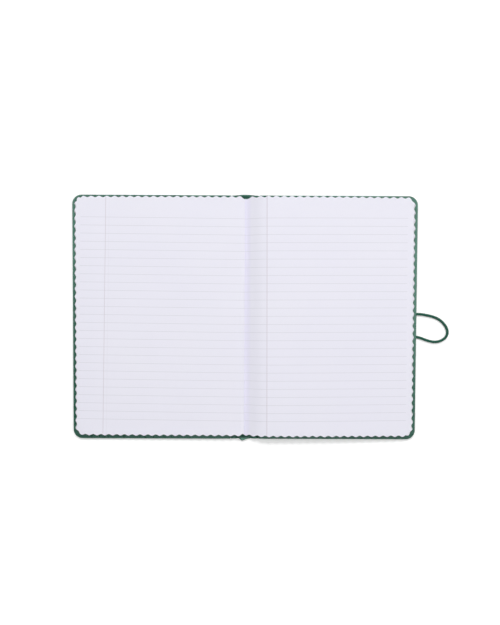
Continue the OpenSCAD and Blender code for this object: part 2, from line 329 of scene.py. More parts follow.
def page_paper(name, rule_turn, margin_turn, first_rule, rule_from, rule_to, fold_shade_w, margins):
    """Ruled writing paper: fine fibre, faint rules all the way across, margin lines and painted shade down
    in the fold at the gutter.
    """
    finish = Finish(name)
    across, _, _ = finish.axes(finish.scaled((1, 1, 1), (0, 0, -margin_turn)))
    _, up, _ = finish.axes(finish.scaled((1, 1, 1), (0, 0, -rule_turn)))
    steps = finish.math("DIVIDE", finish.math("SUBTRACT", up, first_rule), RULE_PITCH)
    off_line = finish.math("ABSOLUTE", finish.math("SUBTRACT", steps, finish.math("ROUND", steps)))
    distance = finish.math("MULTIPLY", off_line, RULE_PITCH)
    rules = line_mask(finish, distance, RULE_W)
    rules = finish.math("MULTIPLY", rules, inside(finish, steps, 0.5 - RULE_COUNT, 0.5))
    rules = finish.math("MULTIPLY", rules, inside(finish, across, rule_from, rule_to))
    ink = finish.noise(INK_GRAIN, 2.0)
    rules = finish.math("MULTIPLY", rules, finish.spread(ink, 0.3, 0.7, 0.8, 1.0))
    colour = finish.mix(finish.noise(PAPER_CLOUDS, 2.0), PAPER, PAPER_COOL)
    fibre = finish.noise(PAPER_FIBRES, 4.0, 0.7)
    colour = finish.mix(finish.spread(fibre, 0.35, 0.75, 0.0, 0.1), colour, PAPER_GAP)
    # Painted shade: darker, bluer paper within the given width of the gutter.
    out, _, _ = finish.axes()
    fold_shade = finish.spread(finish.math("ABSOLUTE", out), fold_shade_w / 2, fold_shade_w, 1.0, 0.0, "SMOOTHSTEP")
    colour = finish.mix(fold_shade, colour, PAPER_FOLD_SHADE)
    colour = finish.mix(rules, colour, RULE)
    for place, width, strength in margins:
        away = finish.math("ABSOLUTE", finish.math("SUBTRACT", across, place))
        mask = finish.math("MULTIPLY", line_mask(finish, away, width), strength)
        colour = finish.mix(mask, colour, MARGIN)
    rough = finish.spread(fibre, 0.3, 0.8, 0.62, 0.78)
    cockle = finish.bump(finish.noise(PAPER_COCKLES, 2.0), 0.1 * MM, 0.25)
    return finish.done(colour, rough, finish.bump(fibre, 0.02 * MM, 0.5, cockle))


def leaf_edges():
    """Cut edges of the leaves: fine lines, one for each leaf, with small gaps between them."""
    finish = Finish("leaf_edges")
    streaks = finish.noise(1, 3.0, 0.6, finish.scaled(LEAF_LINES))
    colour = finish.mix(finish.spread(streaks, 0.42, 0.72, 0.0, 0.75), PAPER_EDGE, PAPER_GAP)
    fibre = finish.noise(CUT_FIBRES, 2.0)
    colour = finish.mix(finish.spread(fibre, 0.4, 0.8, 0.0, 0.15), colour, PAPER_GAP)
    ridges = finish.bump(streaks, 0.08 * MM, 0.7)
    return finish.done(colour, 0.8, finish.bump(fibre, 0.02 * MM, 0.4, ridges))


def plain_paper(name):
    """Unprinted end paper: a little heavier and smoother than the ruled leaves."""
    finish = Finish(name)
    fibre = finish.noise(END_PAPER_FIBRES, 4.0, 0.65)
    mottle = finish.noise(END_PAPER_CLOUDS, 3.0)
    colour = finish.mix(mottle, PAPER, PAPER_EDGE)
    colour = finish.mix(finish.spread(fibre, 0.4, 0.75, 0.0, 0.12), colour, PAPER_GAP)
    rough = finish.spread(fibre, 0.3, 0.8, 0.55, 0.72)
    cockle = finish.bump(mottle, 0.15 * MM, 0.3)
    return finish.done(colour, rough, finish.bump(fibre, 0.025 * MM, 0.5, cockle))


# Width of the rubbed rim along the edges of the covering.
WORN_W = 0.9 * MM


def beyond_edge(finish):
    """Distance beyond the outer edge of the open case, negative inside it."""
    out, up, _ = finish.axes()
    parts = []
    for axis, middle, reach in ((out, 0.0, HALF_W), (up, Y_MID, COVER_H / 2)):
        away = finish.math("ABSOLUTE", finish.math("SUBTRACT", axis, middle))
        past = finish.math("MAXIMUM", finish.math("SUBTRACT", away, reach - CORNER_R), 0.0)
        parts.append(finish.math("MULTIPLY", past, past))
    distance = finish.math("SQRT", finish.math("ADD", parts[0], parts[1]))
    return finish.math("SUBTRACT", distance, CORNER_R)


def covering_cloth(name, light, dark, worn):
    """Coated green covering: fine pebbled grain, soft gloss and slightly paler, rubbed edges."""
    finish = Finish(name)
    grain = finish.cells(CLOTH_PEBBLES)
    folds = finish.noise(CLOTH_CREASES, 4.0, 0.6)
    body = finish.noise(CLOTH_CLOUDS, 3.0)
    colour = finish.mix(finish.spread(body, 0.3, 0.7, 0.0, 0.45), light, dark)
    colour = finish.mix(finish.spread(grain, 0.05, 0.5, 0.0, 0.35), colour, dark)
    rim = finish.spread(beyond_edge(finish), -WORN_W, -WORN_W / 4, 0.0, 0.7, "SMOOTHSTEP")
    rubbed = finish.math("MULTIPLY", rim, finish.spread(folds, 0.35, 0.65, 0.2, 1.0))
    colour = finish.mix(rubbed, colour, worn)
    rough = finish.spread(folds, 0.3, 0.75, 0.24, 0.36)
    wide = finish.bump(folds, 0.12 * MM, 0.25)
    normal = finish.bump(grain, 0.05 * MM, 0.35, wide)
    material = finish.done(colour, rough, normal)
    finish.shader.inputs["Specular IOR Level"].default_value = 0.6
    finish.shader.inputs["Specular Tint"].default_value = (0.6, 1.0, 0.85, 1.0)
    return material


def woven_cord(name, light, dark):
    """Braided textile: small slanted plaits with a painted highlight on their crowns and painted shade
    between them.
    """
    finish = Finish(name)
    threads = finish.noise(CORD_THREADS, 3.0, 0.7)
    # Painted highlight and shade: convex crowns take the lighter colour, hollows between the plaits the
    # darker one.
    geometry = finish.tree.nodes.new("ShaderNodeNewGeometry")
    top = finish.spread(geometry.outputs["Pointiness"], 0.44, 0.54, 0.0, 1.0)
    colour = finish.mix(top, dark, light)
    colour = finish.mix(finish.spread(threads, 0.35, 0.7, 0.0, 0.4), colour, dark)
    normal = finish.bump(threads, 0.05 * MM, 0.6)
    material = finish.done(colour, 0.7, normal)
    finish.shader.inputs["Specular Tint"].default_value = (0.4, 1.0, 0.8, 1.0)
    finish.shader.inputs["Sheen Weight"].default_value = 0.15
    finish.shader.inputs["Sheen Roughness"].default_value = 0.5
    finish.shader.inputs["Sheen Tint"].default_value = (0.3, 0.8, 0.6, 1.0)
    return material


def grey_board():
    """Pressed grey board with flecks of fibre."""
    finish = Finish("grey_board")
    fleck = finish.noise(BOARD_FLECKS, 5.0, 0.7)
    colour = finish.mix(finish.spread(fleck, 0.4, 0.75, 0.0, 0.8), BOARD_GREY, BOARD_FLECK)
    return finish.done(colour, 0.85, finish.bump(fleck, 0.08 * MM, 0.6))


def open_gauze():
    """Open gauze soaked in glue: crossing threads with paler glue between."""
    finish = Finish("gauze")
    along, up, _ = finish.axes()
    threads = []
    for axis in (along, up):
        turn = finish.math("MULTIPLY", axis, 2 * math.pi / GAUZE_PITCH)
        threads.append(finish.math("COSINE", turn))
    weave = finish.math("MAXIMUM", threads[0], threads[1])
    colour = finish.mix(finish.spread(weave, 0.2, 0.8, 0.0, 1.0), GAUZE_GAP, GAUZE)
    return finish.done(colour, 0.8, finish.bump(weave, 0.08 * MM, 0.7))


# Mesh helpers


def add_piece(name, vertices, faces, materials, face_material=None, crease=40):
    """A mesh object with faces pointing outward and smooth shading up to the crease angle in degrees."""
    mesh = bpy.data.meshes.new(name)
    mesh.from_pydata([tuple(v) for v in vertices], [], faces)
    for material in materials:
        mesh.materials.append(material)
    if face_material:
        mesh.polygons.foreach_set("material_index", face_material)
    work = bmesh.new()
    work.from_mesh(mesh)
    bmesh.ops.recalc_face_normals(work, faces=work.faces)
    for edge in work.edges:
        edge.smooth = len(edge.link_faces) == 2 and edge.calc_face_angle(0) < math.radians(crease)
    for face in work.faces:
        face.smooth = True
    work.to_mesh(mesh)
    work.free()
    piece = bpy.data.objects.new(name, mesh)
    bpy.context.scene.collection.objects.link(piece)
    return piece


def bridge(faces, ring_a, ring_b, closed=False):
    """Quads between two rings of vertex numbers of the same length."""
    count = len(ring_a)
    for k in range(count if closed else count - 1):
        n = (k + 1) % count
        faces.append((ring_a[k], ring_a[n], ring_b[n], ring_b[k]))


# What the triangulation is asked for, and the distance below which it joins two points.
ONLY_INSIDE = 1
SAME_POINT = 1e-9


def triangles_inside(outline, inner, edges=()):
    """Triangles that fill an outline, as numbers into outline + inner; the edges are kept as sides."""
    points = [Vector(p) for p in outline + inner]
    loop = [list(range(len(outline)))]
    _, _, made, sources, _, _ = delaunay_2d_cdt(points, list(edges), loop, ONLY_INSIDE, SAME_POINT)
    numbers = [source[0] for source in sources]
    return [tuple(numbers[i] for i in face) for face in made]


# Leaves


def scallops(s, width, notches):
    """Scallops counted along the edge of a page, whole at each notch."""
    head_end = width - PAGE_R
    fore_start = head_end + CORNER_LENGTH
    fore_end = fore_start + SIDE_LENGTH
    tail_start = fore_end + CORNER_LENGTH
    at_head_end = (head_end - notches[0]) / HEAD_PITCH
    fore_count = math.floor(at_head_end + (CORNER_LENGTH + notches[1]) / FORE_PITCH + 0.5)
    at_fore_start = fore_count - notches[1] / FORE_PITCH
    at_fore_end = at_fore_start + SIDE_LENGTH / FORE_PITCH
    tail_count = math.floor(at_fore_end + (CORNER_LENGTH + notches[2]) / TAIL_PITCH + 0.5)
    at_tail_start = tail_count - notches[2] / TAIL_PITCH
    if s < head_end:
        return (s - notches[0]) / HEAD_PITCH
    if s < fore_start:
        return at_head_end + (at_fore_start - at_head_end) * (s - head_end) / CORNER_LENGTH
    if s < fore_end:
        return at_fore_start + (s - fore_start) / FORE_PITCH
    if s < tail_start:
        return at_fore_end + (at_tail_start - at_fore_end) * (s - fore_end) / CORNER_LENGTH
    return at_tail_start + (s - tail_start) / TAIL_PITCH


def edge_length(width):
    return 2 * (width - PAGE_R) + 2 * CORNER_LENGTH + SIDE_LENGTH


def edge_point(s, width, depth):
    """Point of a page's edge at the distance s from the gutter at the head, moved inward by the depth."""
    run = width - PAGE_R
    corner_y = SIDE_LENGTH / 2
    past_head = s - run
    past_corner = past_head - CORNER_LENGTH
    past_side = past_corner - SIDE_LENGTH
    past_tail = past_side - CORNER_LENGTH
    if past_head < 0:
        return s, PAGE_H / 2 - depth
    if past_corner < 0:
        angle = math.pi / 2 * (1 - past_head / CORNER_LENGTH)
        return run + (PAGE_R - depth) * math.cos(angle), corner_y + (PAGE_R - depth) * math.sin(angle)
    if past_side < 0:
        return width - depth, corner_y - past_corner
    if past_tail < 0:
        angle = -math.pi / 2 * past_side / CORNER_LENGTH
        return run + (PAGE_R - depth) * math.cos(angle), -corner_y + (PAGE_R - depth) * math.sin(angle)
    return max(0.0, run - past_tail), -PAGE_H / 2 + depth


# The leaves draw back at both ends of the gutter: how far, where from the middle and how wide.
HEAD_DRAW = (1.6 * MM, 0.3 * MM, 2.2 * MM)
TAIL_DRAW = (0.8 * MM, -1.2 * MM, 1.9 * MM)


def drawn_back(x, draw):
    depth, middle, width = draw
    return depth * math.exp(-(((x - middle) / width) ** 2))


def page_outline(page, s, extra=0.0):
    """A point of a page's scalloped outline, X counted from the gutter."""
    width = page["width"]
    total = edge_length(width)
    dip = SCALLOP_DEPTH / 2 * (1 + math.cos(2 * math.pi * scallops(s, width, page["notches"])))
    dip += drawn_back(page["sign"] * s, HEAD_DRAW) + drawn_back(page["sign"] * (total - s), TAIL_DRAW)
    if s < width - PAGE_R:
        dip += page["head_trim"]
    elif s < width - PAGE_R + CORNER_LENGTH:
        dip += page["head_trim"] * (1 - (s - width + PAGE_R) / CORNER_LENGTH)
    return edge_point(s, width, dip + extra)


def soft_share(u):
    """Share of the drop into the gutter on the right page, straight and then levelling out."""
    if u < STRAIGHT_SHARE:
        return 1 - 2 * u / (1 + STRAIGHT_SHARE)
    return (1 - u) ** 2 / (1 - STRAIGHT_SHARE**2)


def page_top(page, x):
    """Height of the page surface at a distance x from the gutter."""
    reach = page["width"] + page["fan"]
    crown = LEAF_Z + page["thickness"] + page["arch"]
    height = crown - page["arch"] * (x / reach) ** 2
    if x < page["slope"]:
        u = x / page["slope"]
        drop = crown - GUTTER_Z - page["lip"]
        height -= drop * ((1 - u) ** 2 if page["steep"] else soft_share(u))
    return height


# Profile of the underside of the leaves: distance from the gutter and height.
UNDERSIDE = ((0, BACK_Z), (SPINE_W / 2, BACK_Z), (JOINT_X, GROOVE_TOP + ENDLEAF_T), (BOARD_X, LEAF_Z))


def page_under(x):
    """Height of the underside of the leaves at a distance x from the gutter."""
    for (x0, z0), (x1, z1) in zip(UNDERSIDE, UNDERSIDE[1:]):
        if x <= x1:
            return z0 + (z1 - z0) * (x - x0) / (x1 - x0)
    return LEAF_Z


# Slight waves of a page: height of a wide and of a fine one, and where they begin and are full.
WIDE_WAVE = 0.07 * MM
FINE_WAVE = 0.04 * MM
WAVES_FROM = 4 * MM
WAVES_FULL = 24 * MM


def leaf_height(page, x, y, depth):
    """Height inside the leaves; depth runs from 0 on the page surface to 1 on the underside."""
    top = page_top(page, x)
    wave = WIDE_WAVE * math.sin(x / (23 * MM) + 1.3) * math.sin(y / (31 * MM) + 0.4)
    wave += FINE_WAVE * math.sin(x / (12 * MM) - y / (17 * MM))
    top += wave * smooth_step(WAVES_FROM, WAVES_FULL, x)
    return top - (top - page_under(x)) * depth


# Distance between the points of a cut edge, and how far the layers stray from each other.
EDGE_STEP = 0.67 * MM
UNEVEN = 0.05 * MM
EVEN_NEAR_GUTTER = 6 * MM


def leaf_ring(page, layer, depth):
    """Points along the cut edge of one layer of leaves, from the head of the gutter to its tail."""
    total = edge_length(page["width"])
    count = round(total / EDGE_STEP)
    points = []
    for k in range(count + 1):
        s = total * k / count
        wander = math.sin(2.4 * layer + s / (37 * MM)) + math.sin(5.1 * layer + 1.7 + s / (13 * MM))
        free = smooth_step(0, EVEN_NEAR_GUTTER, min(s, total - s))
        x, y = page_outline(page, s, UNEVEN * wander * free if layer else 0.0)
        x += page["fan"] * depth * x / page["width"]
        points.append((x, y, leaf_height(page, x, y, depth)))
    return points


# Points inside a page: columns on its slope, gap between the others, rows, and the rim without points.
SLOPE_COLUMNS = 11
COLUMN_GAP = 8 * MM
FIRST_GAP = 5 * MM
LAST_GAP = 4 * MM
ROWS = 29
CLEAR_RIM = 2.4 * MM


def inner_columns(page):
    """Distances from the gutter at which the page surface has points, close together on the slope."""
    columns = []
    for k in range(1, SLOPE_COLUMNS + 1):
        columns.append(page["slope"] * (k / SLOPE_COLUMNS) ** 1.5)
    x = columns[-1] + FIRST_GAP
    while x < page["width"] - LAST_GAP:
        columns.append(x)
        x += COLUMN_GAP
    return columns


# Places of the papers in the list of materials of the leaves.
LEFT_PAGE = 0
CUT_EDGES = 1
UNDER_PAGE = 2
RIGHT_PAGE = 3


def add_half(page, vertices, faces, slots):
    """One half of the leaves as a closed shell: page, stepped cut edges, underside and gutter wall."""
    base = len(vertices)
    rings = []
    points = []
    for layer in range(page["layers"]):
        for depth in (layer / page["layers"], (layer + 1) / page["layers"]):
            ring = leaf_ring(page, layer, depth)
            rings.append(range(len(points), len(points) + len(ring)))
            points += ring
    rows = [PAGE_H * (0.5 - (k + 1) / (ROWS + 1)) for k in range(ROWS)]
    inner = []
    for x in inner_columns(page):
        for y in rows:
            over = max(0.0, x - page["width"] + PAGE_R), max(0.0, abs(y) - SIDE_LENGTH / 2)
            if math.hypot(*over) < PAGE_R - CLEAR_RIM and abs(y) < PAGE_H / 2 - CLEAR_RIM:
                inner.append((x, y))
    made = []
    page_slot = LEFT_PAGE if page is LEFT else RIGHT_PAGE
    for depth, ring, slot in ((0, rings[0], page_slot), (1, rings[-1], UNDER_PAGE)):
        gutter = [(0.0, y) for y in reversed(rows)]
        outline = [points[i][:2] for i in ring] + gutter
        numbers = list(ring) + list(range(len(points), len(points) + len(gutter) + len(inner)))
        points += [(x, y, leaf_height(page, x, y, depth)) for x, y in gutter + inner]
        for face in triangles_inside(outline, inner):
            made.append((tuple(numbers[i] for i in face), slot))
        if depth == 0:
            top_line = numbers[len(ring):len(ring) + len(gutter)]
        else:
            low_line = numbers[len(ring):len(ring) + len(gutter)]
    walls = []
    for ring_a, ring_b in zip(rings, rings[1:]):
        bridge(walls, ring_a, ring_b)
    made += [(face, CUT_EDGES) for face in walls]
    tail_ends = [ring[-1] for ring in rings]
    head_ends = [ring[0] for ring in reversed(rings)]
    wall = tail_ends + low_line + head_ends + list(reversed(top_line))
    made.append((tuple(wall), CUT_EDGES))
    for x, y, z in points:
        vertices.append((page["sign"] * x, y + LEAF_MID, z))
    for face, slot in made:
        faces.append(tuple(base + i for i in face))
        slots.append(slot)


def build_leaves(papers):
    vertices, faces, slots = [], [], []
    for page in (LEFT, RIGHT):
        add_half(page, vertices, faces, slots)
    leaves = add_piece("leaves", vertices, faces, papers, slots, crease=35)
    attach(leaves, "book_block")
    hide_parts("text_block")


# Covering

# Rows beside the joint, then steps along each straight side of a cover and round each corner.
JOINT_ROWS = (0, 1 * MM, 3 * MM)
SIDE_STEPS = 12
ARC_STEPS = 14

# Pleats of the covering at the corners: their height, and the insets at which they begin and are full.
PLEAT_H = 0.05 * MM
PLEAT_FROM = 1 * MM
PLEAT_FULL = 3 * MM


def cover_ring(inset, height):
    """Outline of a cover at a distance inside its edge, from the head of the joint to its tail."""
    radius = max(CORNER_R - inset, 0.0)
    centre_x = HALF_W - max(CORNER_R, inset)
    centre_y = COVER_H / 2 - max(CORNER_R, inset)
    places = [BOARD_X + gap for gap in JOINT_ROWS]
    places += [BOARD_X + (centre_x - BOARD_X) * k / SIDE_STEPS for k in range(1, SIDE_STEPS)]
    straight = len(places)
    points = [(x, centre_y + radius) for x in places]
    for k in range(ARC_STEPS + 1):
        angle = math.pi / 2 * (1 - k / ARC_STEPS)
        points.append((centre_x + radius * math.cos(angle), centre_y + radius * math.sin(angle)))
    for k in range(1, straight):
        points.append((centre_x + radius, centre_y - 2 * centre_y * k / straight))
    for x, y in reversed(points[:straight + ARC_STEPS + 1]):
        points.append((x, -y))
    pleats = PLEAT_H * smooth_step(PLEAT_FROM, PLEAT_FULL, inset) if height == RIM_TOP else 0.0
    ring = []
    for k, (x, y) in enumerate(points):
        from_end = min(k, len(points) - 1 - k)
        on_arc = straight <= from_end <= straight + ARC_STEPS
        fold = pleats * math.cos(math.pi * (from_end - straight)) if on_arc else 0.0
        ring.append((x, y, height - abs(fold)))
    return ring


# Rounding of the wrapped edge, insets of the rows beside it, and the bevel where the turn-in ends.
ROUND_STEPS = 5
EDGE_ROUND = 0.5 * MM
EDGE_ROW = 1.2 * MM
RIM_ROW = 3 * MM
MIDDLE_INSET = 16 * MM
BEVEL_W = 0.2 * MM
BEVEL_H = 0.1 * MM


def round_edge(low, high, radius):
    """Insets and heights round a wrapped edge, from its lower face to its upper face."""
    made = []
    for centre, start in ((low + radius, -90), (high - radius, 0)):
        for k in range(ROUND_STEPS + 1):
            angle = math.radians(start + 90 * k / ROUND_STEPS)
            made.append((radius * (1 - math.cos(angle)), centre + radius * math.sin(angle)))
    return made


def build_covering(page, cloth):
    """Covering of one board: outer face, wrapped edges, turned-in margins and the side against the board."""
    profile = [(MIDDLE_INSET, 0.0), (RIM_ROW, 0.0), (EDGE_ROW, 0.0)]
    profile += round_edge(0.0, RIM_TOP, EDGE_ROUND)
    profile += [(EDGE_ROW, RIM_TOP), (RIM_ROW, RIM_TOP)]
    profile += [(TURN_IN - BEVEL_W, RIM_TOP), (TURN_IN, RIM_TOP - BEVEL_H)]
    profile += [(TURN_IN, BOARD_TOP), (CLOTH_T, BOARD_TOP), (CLOTH_T, CLOTH_T), (MIDDLE_INSET, CLOTH_T)]
    vertices, faces, rings = [], [], []
    for inset, height in profile:
        ring = cover_ring(inset, height)
        rings.append(list(range(len(vertices), len(vertices) + len(ring))))
        vertices += [(page["sign"] * x, y + Y_MID, z) for x, y, z in ring]
    for ring_a, ring_b in zip(rings, rings[1:]):
        bridge(faces, ring_a, ring_b)
    faces.append(tuple(rings[0]))
    faces.append(tuple(rings[-1]))
    faces.append((rings[0][0], rings[0][-1], rings[-1][-1], rings[-1][0]))
    for end in (0, -1):
        faces.append(tuple(ring[end] for ring in rings))
    name = page["body"].replace("_cover", "_covering_cloth")
    piece = add_piece(name, vertices, faces, [cloth])
    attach(piece, page["body"])
    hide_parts(page["body"].replace("_cover", "_covering"))


def groove_height(x):
    """Height of the outer face of the covering across the joint."""
    rise = smooth_step(SPINE_W / 2, JOINT_X - GROOVE_FLOOR / 2, x)
    fall = smooth_step(JOINT_X + GROOVE_FLOOR / 2, BOARD_X, x)
    return GROOVE_RISE * (rise - fall)


def spine_reach(x, tail):
    """Reach of the spine's covering from its middle: a low rise at the head, a point at the tail."""
    if tail:
        left = -(TAIL_CAP_W + TAIL_CAP_SHIFT) / 2
        right = (TAIL_CAP_W - TAIL_CAP_SHIFT) / 2
        edge = left if x < -TAIL_CAP_SHIFT else right
        return COVER_H / 2 + TAIL_CAP * max(0.0, 1 - (x + TAIL_CAP_SHIFT) / (edge + TAIL_CAP_SHIFT))
    rise = (JOINT_X - abs(x)) / (JOINT_X - SPINE_W / 2)
    return COVER_H / 2 + HEAD_CAP * min(1.0, max(0.0, rise))


def joint_band(x_values, low, high, sign):
    """Closed band across a joint; low and high give its lower and upper face."""
    vertices, faces, rings = [], [], []
    for x in x_values:
        bottom, top = low(x), high(x)
        middle, soft = (bottom + top) / 2, (top - bottom) / 2
        head = spine_reach(sign * x, False)
        tail = -spine_reach(sign * x, True)
        loop = [(tail + soft, bottom), (tail, middle), (tail + soft, top)]
        loop += [(head - soft, top), (head, middle), (head - soft, bottom)]
        rings.append(list(range(len(vertices), len(vertices) + len(loop))))
        vertices += [(sign * x, y + Y_MID, z) for y, z in loop]
    for ring_a, ring_b in zip(rings, rings[1:]):
        bridge(faces, ring_a, ring_b, closed=True)
    faces.append(tuple(rings[0]))
    faces.append(tuple(reversed(rings[-1])))
    return vertices, faces


def bend_at_joint(piece):
    """Bakes the piece's place into its mesh; the piece is attached to no body."""
    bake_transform(piece)


def build_joint_cloth(page, cloth):
    steps = 30
    x_values = [SPINE_W / 2 + (BOARD_X - SPINE_W / 2) * k / steps for k in range(steps + 1)]
    vertices, faces = joint_band(x_values, groove_height, lambda x: groove_height(x) + CLOTH_T, page["sign"])
    piece = add_piece(page["body"].replace("_cover", "_joint_cloth"), vertices, faces, [cloth])
    bend_at_joint(piece)
    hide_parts(page["body"].replace("_cover", "_covering"))


# Lip where the covering folds in over the ends of the spine: its height and rounding, and the distances
# from the end of the last row on the underside and of the middle and the foot of the lip's inner slope.
CAP_LIP = 1.1 * MM
CAP_ROUND = 0.7 * MM
CAP_ROW = 3 * MM
CAP_SLOPE = 1.6 * MM
CAP_FOOT = 2.6 * MM


def build_spine_cloth(cloth):
    """Covering of the spine strip, folded in over its ends with a raised lip at head and tail."""
    strip_end = COVER_H / 2 - CLOTH_T
    top = SPINE_TOP + CLOTH_T
    stations = 24
    vertices, faces, rings = [], [], []
    for k in range(stations + 1):
        x = SPINE_W * (k / stations - 0.5)
        crown = max(0.0, 1 - (2 * x / SPINE_W) ** 2)
        loop = []
        for side in (-1, 1):
            reach = spine_reach(x, side < 0)
            lip = top + CAP_LIP * crown
            half = [(0.0, 0.0), (reach - CAP_ROW, 0.0)]
            half += [(reach - inset, z) for inset, z in round_edge(0.0, lip, min(CAP_ROUND, lip / 2))]
            half += [(reach - CAP_SLOPE, (top + lip) / 2), (reach - CAP_FOOT, top)]
            half += [(strip_end - TURN_IN, top), (strip_end - TURN_IN, SPINE_TOP)]
            half += [(strip_end, SPINE_TOP), (strip_end, CLOTH_T), (0.0, CLOTH_T)]
            half = [(side * y, z) for y, z in half]
            loop += half if side < 0 else list(reversed(half))[1:-1]
        rings.append(list(range(len(vertices), len(vertices) + len(loop))))
        vertices += [(x, y + Y_MID, z) for y, z in loop]
    for ring_a, ring_b in zip(rings, rings[1:]):
        bridge(faces, ring_a, ring_b, closed=True)
    faces.append(tuple(rings[0]))
    faces.append(tuple(reversed(rings[-1])))
    piece = add_piece("spine_cloth", vertices, faces, [cloth], crease=50)
    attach(piece, "book_block")
    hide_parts("spine_covering")


# End leaves


def turned_in(x, y):
    """1 where the covering is turned in under the end leaf, 0 over the bare board."""
    soft = 0.6 * MM
    side = smooth_step(COVER_H / 2 - TURN_IN - soft, COVER_H / 2 - TURN_IN, abs(y))
    fore = smooth_step(HALF_W - TURN_IN - soft, HALF_W - TURN_IN, x)
    return max(side, fore)


def endleaf_low(x, y):
    """Underside of the end leaf: down in the joint, then over the board and the turned-in margins."""
    on_board = BOARD_TOP + CLOTH_T * turned_in(x, y)
    if x >= BOARD_X:
        return on_board
    from_x = JOINT_X + GROOVE_FLOOR / 2
    if x <= from_x:
        return GROOVE_TOP
    return GROOVE_TOP + (on_board - GROOVE_TOP) * (x - from_x) / (BOARD_X - from_x)


# Step along the scalloped edge of an end leaf, and the distance from its inner edge at which it starts.
ENDLEAF_STEP = 1.5 * EDGE_STEP
ENDLEAF_START = 0.2 * MM

# Points inside an end leaf: the wide grid over the board, the fine steps where the paper changes height,
# and the wider steps beside them.
WIDE_GRID = 30 * MM
FINE_STEP = 0.3 * MM
JOINT_COLUMN = 0.5 * MM
JOINT_COLUMNS = 13
BESIDE_COLUMN = 2 * MM
BESIDE_ROW = 3 * MM
INNER_EDGE_STEPS = 40


def build_endleaf(page, paper):
    """The end leaf pasted inside a cover, one sheet from the joint to its scalloped fore-edge."""
    total = edge_length(page["width"])
    x_in = JOINT_X - GROOVE_FLOOR / 2
    count = round(total / ENDLEAF_STEP)
    outline = []
    for k in range(count + 1):
        x, y = page_outline(page, total * k / count)
        x += page["fan"] * x / page["width"]
        if x > x_in + ENDLEAF_START:
            outline.append((x, y + HEAD_OFFSET))
    head, tail = outline[0][1], outline[-1][1]
    outline += [(x_in, tail + (head - tail) * k / INNER_EDGE_STEPS) for k in range(INNER_EDGE_STEPS + 1)]
    edge = HALF_W - TURN_IN
    columns = [x_in + JOINT_COLUMN * k for k in range(1, JOINT_COLUMNS + 1)]
    columns += [WIDE_GRID * k for k in range(1, 5)]
    columns += [edge + gap for gap in (-BESIDE_COLUMN, -2 * FINE_STEP, -FINE_STEP, 0, BESIDE_COLUMN)]
    window = COVER_H / 2 - TURN_IN
    rows = [WIDE_GRID * k for k in range(-2, 3)]
    for sign in (-1, 1):
        rows += [sign * (window + gap) for gap in (-BESIDE_ROW, -2 * FINE_STEP, -FINE_STEP, 0, BESIDE_ROW)]
    rows.sort()
    inner = [(x, y) for x in columns for y in rows]
    first = len(outline)
    down = len(rows)
    edges = [(first + i, first + i + down) for i in range(len(inner) - down)]
    edges += [(first + i, first + i + 1) for i in range(len(inner) - 1) if (i + 1) % down]
    triangles = triangles_inside(outline, inner, edges)
    flat = outline + inner
    sign = page["sign"]
    vertices = [(sign * x, y + Y_MID, endleaf_low(x, y)) for x, y in flat]
    vertices += [(sign * x, y + Y_MID, endleaf_low(x, y) + ENDLEAF_T) for x, y in flat]
    shift = len(flat)
    faces = [tuple(reversed(face)) for face in triangles]
    faces += [tuple(i + shift for i in face) for face in triangles]
    rim = list(range(len(outline)))
    bridge(faces, rim, [i + shift for i in rim], closed=True)
    piece = add_piece(page["body"].replace("_cover", "_endleaf_paper"), vertices, faces, [paper])
    bend_at_joint(piece)
    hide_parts(page["body"].replace("_cover", "_endleaf"))


# Head and tail bands

# Ribs of thread on the bead: their pitch, their depth as a share of its radius, and the rings in each.
RIB_PITCH = 0.6 * MM
RIB_DEPTH = 0.12
RIB_RINGS = 6

# Share by which the bead narrows at its ends, and over what length.
END_TAPER = 0.45
TAPER_W = 0.5 * MM


def build_band(name, side, cloth):
    """A rolled bead with ribs of thread on a short tape glued at the back of the leaves."""
    band_w = SPINE_W - 2 * BAND_INSET
    leaf_end = PAGE_H / 2
    centre_y = leaf_end + BEAD_D / 2
    centre_z = BACK_Z + BEAD_D / 2
    rings = round(RIB_RINGS * band_w / RIB_PITCH)
    sides = 20
    vertices, faces, loops = [], [], []
    for k in range(rings + 1):
        x = band_w * (k / rings - 0.5)
        end = smooth_step(0, TAPER_W, band_w / 2 - abs(x))
        ribbed = 1 - RIB_DEPTH + RIB_DEPTH * abs(math.sin(math.pi * x / RIB_PITCH))
        radius = BEAD_D / 2 * ribbed * (1 - END_TAPER + END_TAPER * end)
        loops.append(list(range(len(vertices), len(vertices) + sides)))
        for j in range(sides):
            angle = 2 * math.pi * j / sides
            vertices.append((x, centre_y + radius * math.cos(angle), centre_z + radius * math.sin(angle)))
    for loop_a, loop_b in zip(loops, loops[1:]):
        bridge(faces, loop_a, loop_b, closed=True)
    faces.append(tuple(reversed(loops[0])))
    faces.append(tuple(loops[-1]))
    tape_top = centre_z - 0.1 * MM
    past_leaves = leaf_end + 0.02 * MM
    section = [(leaf_end - BAND_TAPE, LINING_Z), (centre_y, LINING_Z), (centre_y, tape_top)]
    section += [(past_leaves, tape_top), (past_leaves, BACK_Z), (leaf_end - BAND_TAPE, BACK_Z)]
    tape = []
    for x in (-band_w / 2, band_w / 2):
        tape.append(list(range(len(vertices), len(vertices) + len(section))))
        vertices += [(x, y, z) for y, z in section]
    bridge(faces, tape[0], tape[1], closed=True)
    faces.append(tuple(tape[0]))
    faces.append(tuple(reversed(tape[1])))
    vertices = [(x, side * y + LEAF_MID, z) for x, y, z in vertices]
    piece = add_piece(name + "_woven", vertices, faces, [cloth])
    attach(piece, "book_block")
    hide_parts(name)


# Elastic loop

CORD_Z = RIM_TOP / 2
CORD_REST_Z = CORD_D / 2

